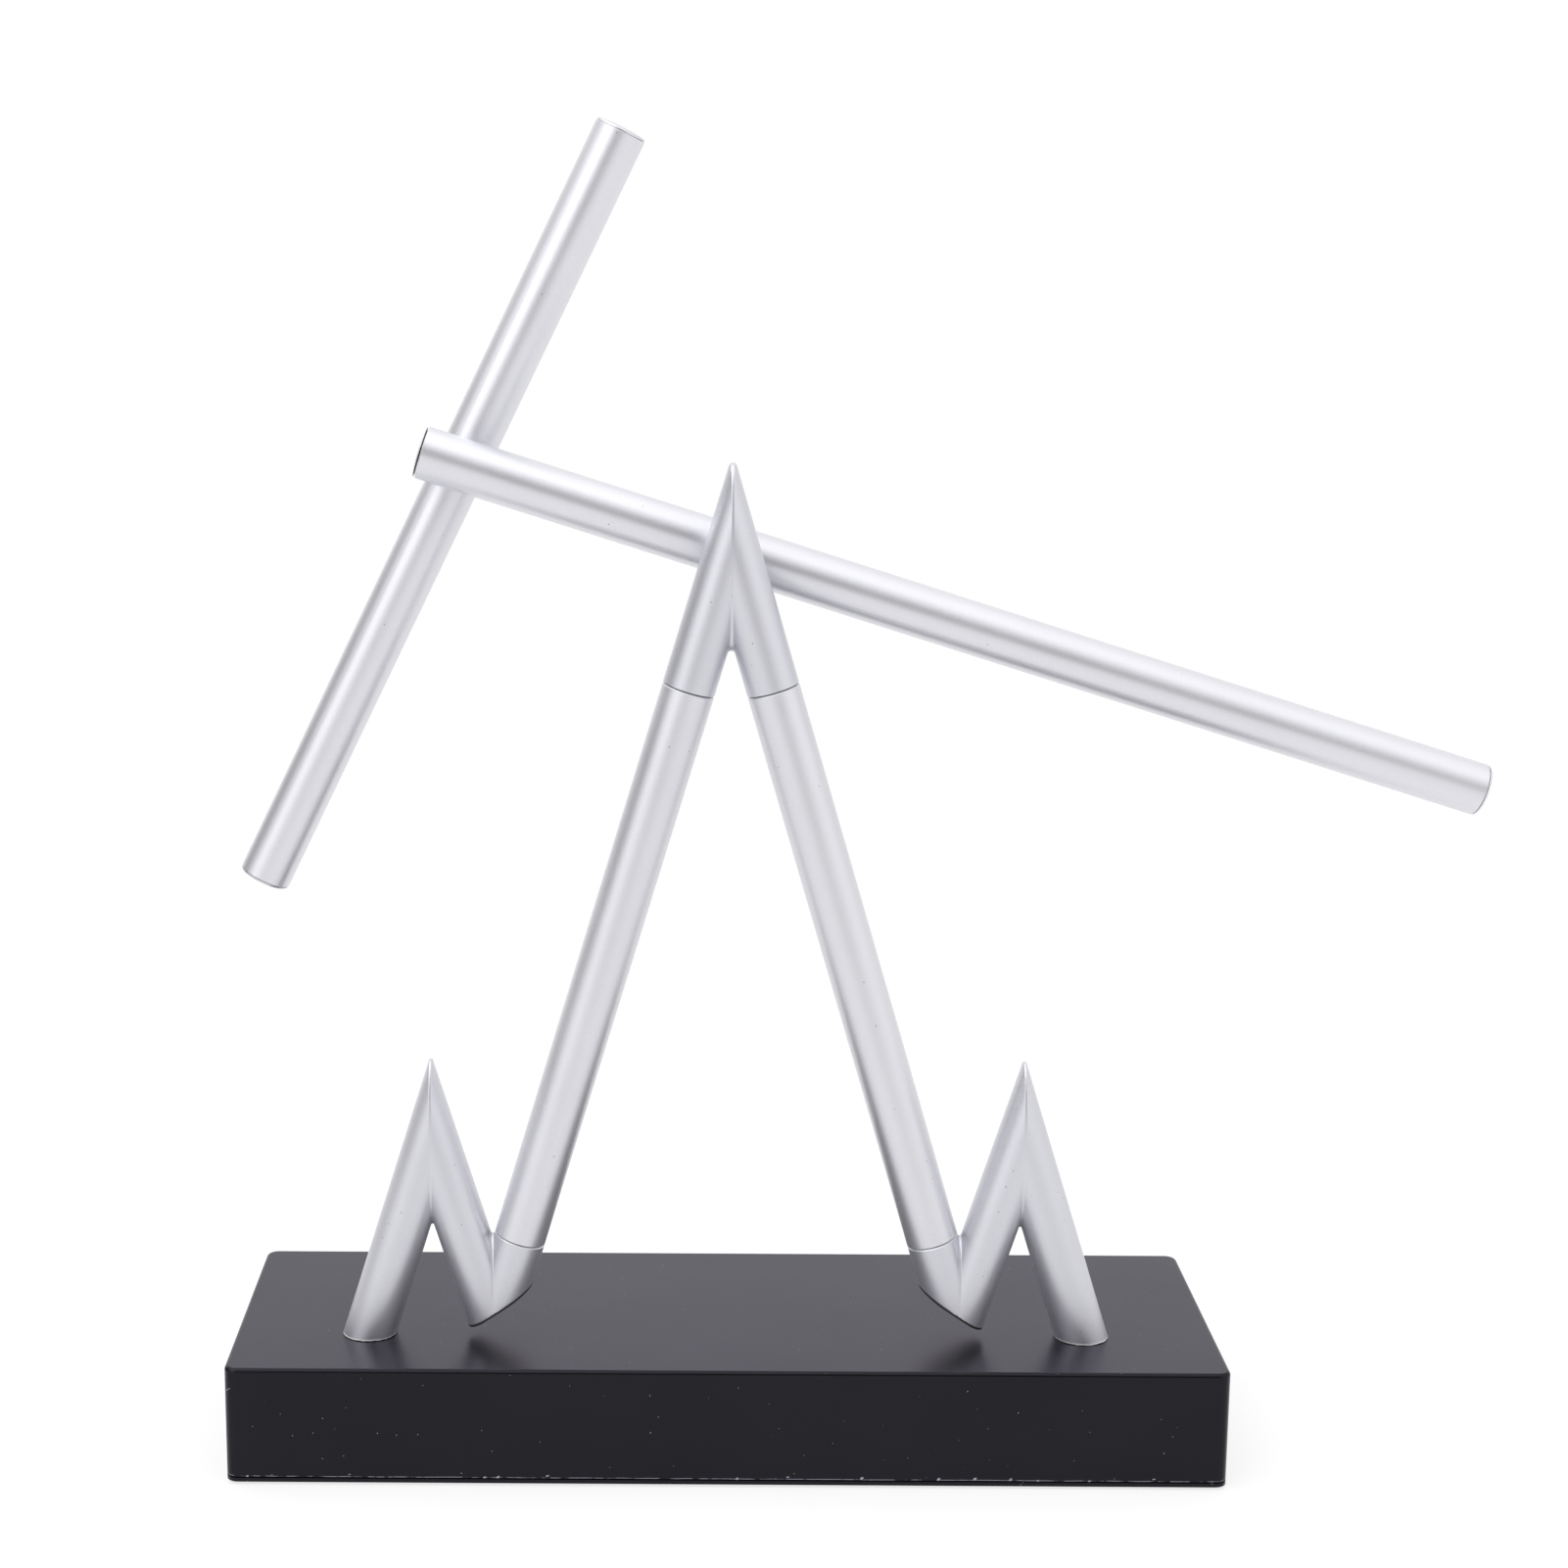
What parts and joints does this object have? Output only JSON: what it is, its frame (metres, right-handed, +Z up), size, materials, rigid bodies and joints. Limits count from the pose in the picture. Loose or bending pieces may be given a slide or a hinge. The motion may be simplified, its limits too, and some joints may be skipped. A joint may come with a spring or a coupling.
{
  "type": "kinetic desk toy",
  "caption": "Kinetic desk toy: a zigzag tube frame on a flat black base, a long stick turning freely on its head and a shorter stick turning on that, kept moving by a hidden coil.",
  "frame": {"origin": "on the floor, under the centre of the base's outline", "axes": "+X to the right along the base's length, +Y to the back, +Z up"},
  "size_m": [0.3028, 0.08, 0.3213],
  "materials": {
    "case_black": "satin moulded black, slightly violet under soft light",
    "pad_rubber": "matt black",
    "plated_steel": "bright zinc plate",
    "axle_steel": "ground steel",
    "cell_can": "plain grey can with a bare button",
    "contact_nickel": "nickel-plated strip",
    "lead_insulation": "red wire sleeve",
    "bobbin_nylon": "natural nylon",
    "enamel_copper": "enamelled copper wire",
    "core_iron": "soft iron",
    "board_green": "green board with solder mask",
    "component_black": "moulded black",
    "capacitor_blue": "blue sleeve",
    "resistor_tan": "tan lacquer",
    "cast_silver": "fine satin silver coat, a little grainy",
    "tube_silver": "satin bead-blasted and clear anodised",
    "cap_silver": "satin silver",
    "bearing_steel": "polished bearing steel",
    "cage_brass": "bright brass",
    "hub_brass": "turned brass",
    "magnet_nickel": "nickel-plated magnet",
    "block_nylon": "natural nylon"
  },
  "bodies": {
    "base": {"base_shell": "case_black", "bottom_plate": "case_black", "rubber_pads": "pad_rubber", "plate_screws": "plated_steel", "battery_cells": "cell_can", "spring_contacts": "contact_nickel", "button_contacts": "contact_nickel", "battery_leads": "lead_insulation", "coil_bobbin": "bobbin_nylon", "coil_winding": "enamel_copper", "coil_core": "core_iron", "coil_screws": "plated_steel", "coil_leads": "enamel_copper", "circuit_board": "board_green", "board_screws": "plated_steel", "drive_transistor": "component_black", "storage_capacitor": "capacitor_blue", "resistors": "resistor_tan", "foot_bolts": "plated_steel", "foot_washers": "plated_steel", "left_foot_casting": "cast_silver", "right_foot_casting": "cast_silver", "left_leg_tube": "tube_silver", "right_leg_tube": "tube_silver", "head_casting": "cast_silver", "main_axle_screw": "axle_steel", "main_axle_spacer": "axle_steel", "main_inner_rings": "bearing_steel", "main_inner_sleeve": "axle_steel"},
    "battery_door": {"battery_door": "case_black"},
    "main_ball_set": {"main_bearing_balls": "bearing_steel", "main_ball_cages": "cage_brass"},
    "long_stick": {"main_outer_rings": "bearing_steel", "long_stick_tube": "tube_silver", "long_stick_hub": "hub_brass", "long_stick_weight": "hub_brass", "drive_magnet": "magnet_nickel", "magnet_block": "block_nylon", "long_end_cap": "cap_silver", "magnet_end_cap": "cap_silver", "axle_block": "hub_brass", "second_axle_screw": "axle_steel", "second_axle_spacer": "axle_steel", "second_inner_rings": "bearing_steel", "second_inner_sleeve": "axle_steel"},
    "second_ball_set": {"second_bearing_balls": "bearing_steel", "second_ball_cages": "cage_brass"},
    "short_stick": {"second_outer_rings": "bearing_steel", "short_stick_tube": "tube_silver", "short_stick_hub": "hub_brass", "short_stick_weight": "hub_brass", "short_upper_cap": "cap_silver", "short_lower_cap": "cap_silver"}
  },
  "joints": [
    {"name": "long_stick_swing", "type": "hinge", "parent": "base", "child": "long_stick", "pos_m": [0, -0.0023, 0.2208], "axis": [0, 1, 0], "continuous": true},
    {"name": "short_stick_swing", "type": "hinge", "parent": "long_stick", "child": "short_stick", "pos_m": [-0.06409, 0.0122, 0.24101], "axis": [0, 1, 0], "continuous": true},
    {"name": "main_balls_turn", "type": "hinge", "parent": "base", "child": "main_ball_set", "pos_m": [0, -0.0023, 0.2208], "axis": [0, 1, 0], "continuous": true},
    {"name": "second_balls_turn", "type": "hinge", "parent": "long_stick", "child": "second_ball_set", "pos_m": [-0.06409, 0.0122, 0.24101], "axis": [0, 1, 0], "continuous": true},
    {"name": "battery_door_slide", "type": "slide", "parent": "base", "child": "battery_door", "axis": [0, 0, -1], "range_m": [0, 0.012]}
  ],
  "couplings": [
    {"joint": "main_balls_turn", "follows": "long_stick_swing", "ratio": 0.6087},
    {"joint": "second_balls_turn", "follows": "short_stick_swing", "ratio": 0.6087}
  ]
}
